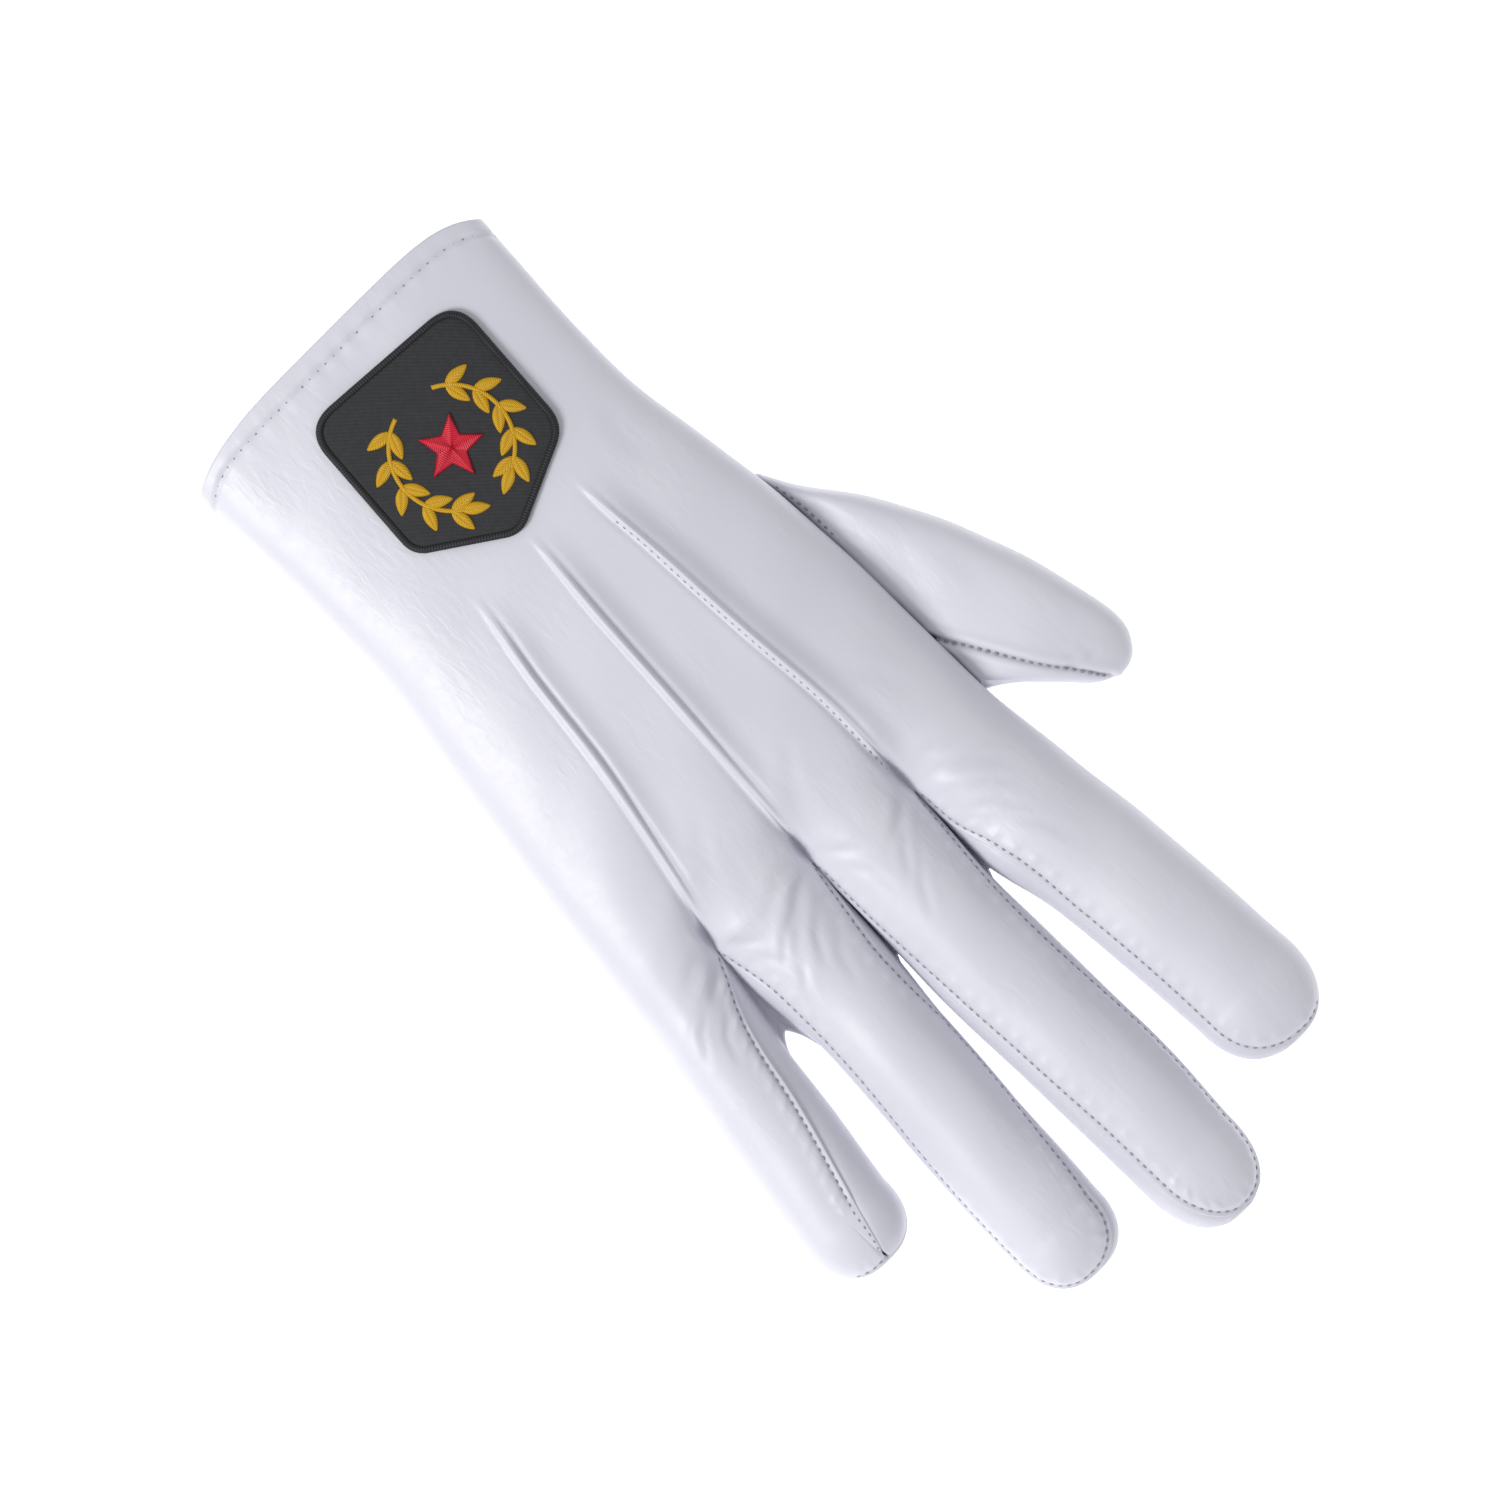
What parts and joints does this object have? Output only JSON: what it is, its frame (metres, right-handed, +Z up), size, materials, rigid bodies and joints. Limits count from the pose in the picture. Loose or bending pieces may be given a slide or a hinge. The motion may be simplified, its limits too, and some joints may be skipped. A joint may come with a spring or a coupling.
{
  "type": "parade glove",
  "caption": "White leather parade glove for the right hand: open cuff, sewn fourchettes between the fingers, raised points on the back and a cloth badge near the cuff.",
  "frame": {"origin": "in the middle of the palm, on the face that it rests on", "axes": "+Y towards the fingertips, +X towards the little finger, +Z up out of the back of the hand"},
  "size_m": [0.1347, 0.2537, 0.0252],
  "materials": {
    "leather": "smooth, satin",
    "badge_cloth": "twill, matt",
    "badge_edge": "overlocked thread",
    "badge_gold": "embroidered thread",
    "badge_red": "embroidered thread"
  },
  "bodies": {
    "root": {"back_panel": "leather", "palm_panel": "leather", "fourchette_index_middle": "leather", "fourchette_middle_ring": "leather", "fourchette_ring_little": "leather", "thumb": "leather", "badge_backing": "badge_cloth", "badge_border": "badge_edge", "badge_sprig_left": "badge_gold", "badge_sprig_right": "badge_gold", "badge_star": "badge_red"}
  },
  "joints": []
}
